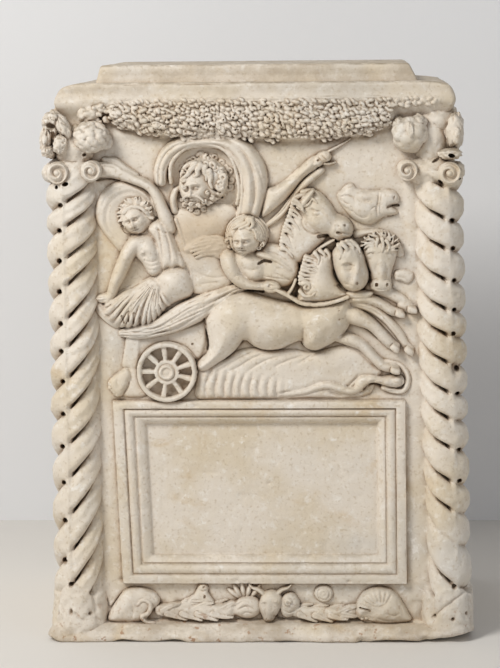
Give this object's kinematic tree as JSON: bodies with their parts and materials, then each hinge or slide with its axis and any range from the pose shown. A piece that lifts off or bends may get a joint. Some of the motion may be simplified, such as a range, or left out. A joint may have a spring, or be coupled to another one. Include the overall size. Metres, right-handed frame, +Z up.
{
  "type": "marble relief altar",
  "caption": "Free-standing funerary altar block of worn white marble: garland and chariot relief on the front, blank framed panel, twisted corner columns.",
  "frame": {"origin": "centre of the footprint, on the underside", "axes": "+Z up, the carved front faces -Y, +X to the right as the front is seen"},
  "size_m": [0.61, 0.4065, 0.815],
  "materials": {
    "marble": "weathered white marble gone cream and ochre, satin on worn edges, matt and brown with dirt in the drill work"
  },
  "bodies": {
    "root": {"marble_altar": "marble"}
  },
  "joints": []
}
